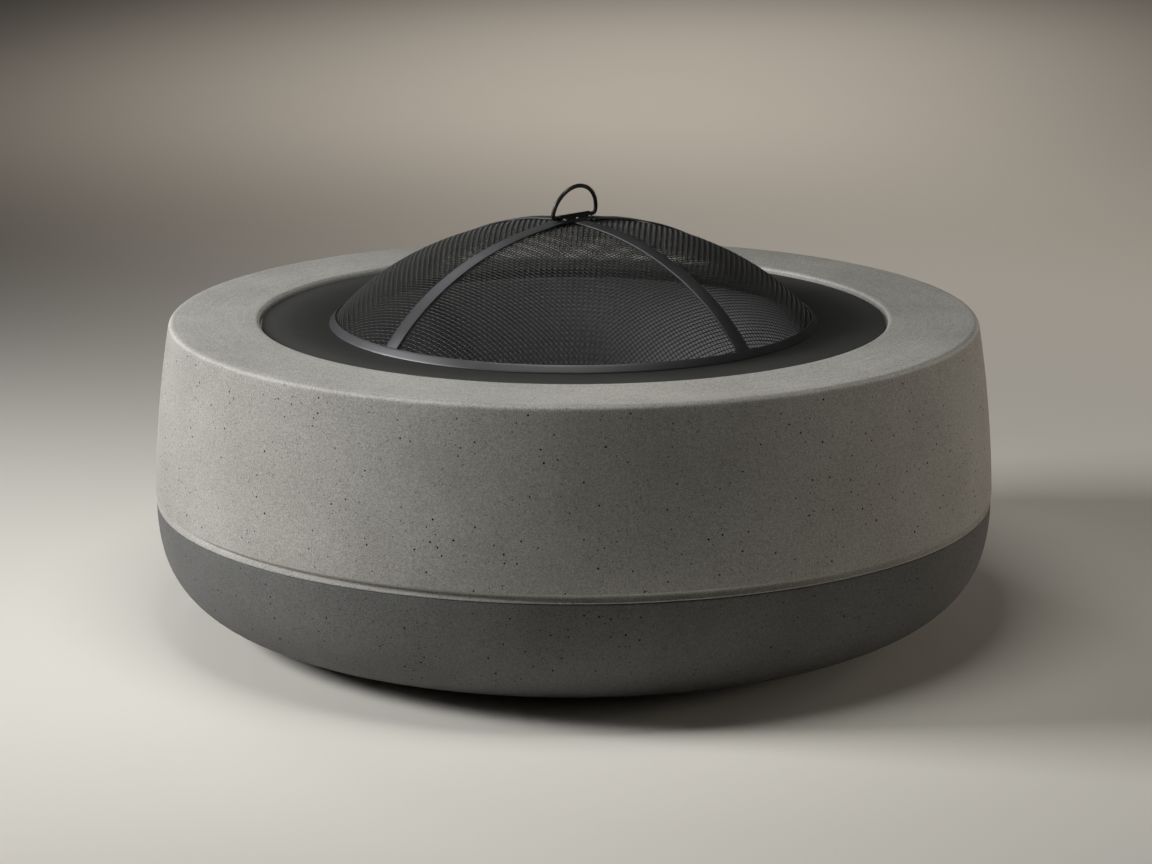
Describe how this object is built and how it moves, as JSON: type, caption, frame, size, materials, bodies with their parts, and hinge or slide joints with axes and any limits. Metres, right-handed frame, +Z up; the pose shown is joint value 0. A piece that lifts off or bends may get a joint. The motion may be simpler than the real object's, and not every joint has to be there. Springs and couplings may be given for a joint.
{
  "type": "wood-burning fire pit",
  "caption": "Low round two-tone concrete fire pit with a drop-in black steel fire bowl, a log grate and a lift-off wire-mesh spark-screen dome with a ring handle.",
  "frame": {"origin": "on the ground under the middle of the fire pit", "axes": "+Z up through the middle of the bowl; -Y is the side that the picture shows"},
  "size_m": [1.066, 1.066, 0.5539],
  "materials": {
    "light_concrete": "cast, fine pin-holes, lightly trowelled deck",
    "dark_concrete": "cast, through-coloured dark grey, fine pin-holes",
    "seal_rubber": "matt",
    "fibre_gasket": "pressed ceramic-fibre felt",
    "zinc_steel": "zinc plated",
    "insert_brass": "turned",
    "black_bowl": "satin black heat-proof paint on spun steel",
    "raw_iron": "dark mill scale",
    "black_strap": "satin black powder coat",
    "black_wire": "black coated woven wire",
    "bright_rivet": "bright steel"
  },
  "bodies": {
    "surround": {"base_shell": "dark_concrete", "upper_surround": "light_concrete", "joint_seal": "seal_rubber", "ledge_gasket": "fibre_gasket", "tie_plate_1": "zinc_steel", "tie_plate_2": "zinc_steel", "tie_plate_3": "zinc_steel", "tie_plate_4": "zinc_steel", "tie_bolts": "zinc_steel", "tie_inserts": "insert_brass", "foot_pad_1": "seal_rubber", "foot_pad_2": "seal_rubber", "foot_pad_3": "seal_rubber", "foot_pad_4": "seal_rubber", "foot_screws": "zinc_steel", "foot_inserts": "insert_brass", "drain_sleeve": "insert_brass", "heat_shield": "zinc_steel", "shield_posts": "zinc_steel", "shield_bolts": "zinc_steel", "shield_inserts": "insert_brass"},
    "fire_bowl": {"fire_bowl": "black_bowl"},
    "log_grate": {"grate_bar_1": "raw_iron", "grate_bar_2": "raw_iron", "grate_bar_3": "raw_iron", "grate_bar_4": "raw_iron", "grate_bar_5": "raw_iron", "grate_bearer_1": "raw_iron", "grate_bearer_2": "raw_iron", "grate_leg_1": "raw_iron", "grate_leg_2": "raw_iron", "grate_leg_3": "raw_iron", "grate_leg_4": "raw_iron"},
    "spark_screen": {"screen_hoop": "black_strap", "clamp_ring": "black_strap", "mesh_dome": "black_wire", "strap_under": "black_strap", "strap_over": "black_strap", "handle_saddle": "black_strap", "saddle_rivets": "bright_rivet"},
    "handle": {"handle_ring": "black_strap"}
  },
  "joints": [
    {"name": "bowl_lift", "type": "slide", "parent": "surround", "child": "fire_bowl", "axis": [0, 0, 1], "range_m": [0, 0.3]},
    {"name": "grate_lift", "type": "slide", "parent": "fire_bowl", "child": "log_grate", "axis": [0, 0, 1], "range_m": [0, 0.15]},
    {"name": "screen_lift", "type": "slide", "parent": "fire_bowl", "child": "spark_screen", "axis": [0, 0, 1], "range_m": [0, 0.25]},
    {"name": "handle_fold", "type": "hinge", "parent": "spark_screen", "child": "handle", "pos_m": [0, 0, 0.51156], "axis": [0.7071, 0.7071, 0], "range_deg": [-96, 74]}
  ]
}
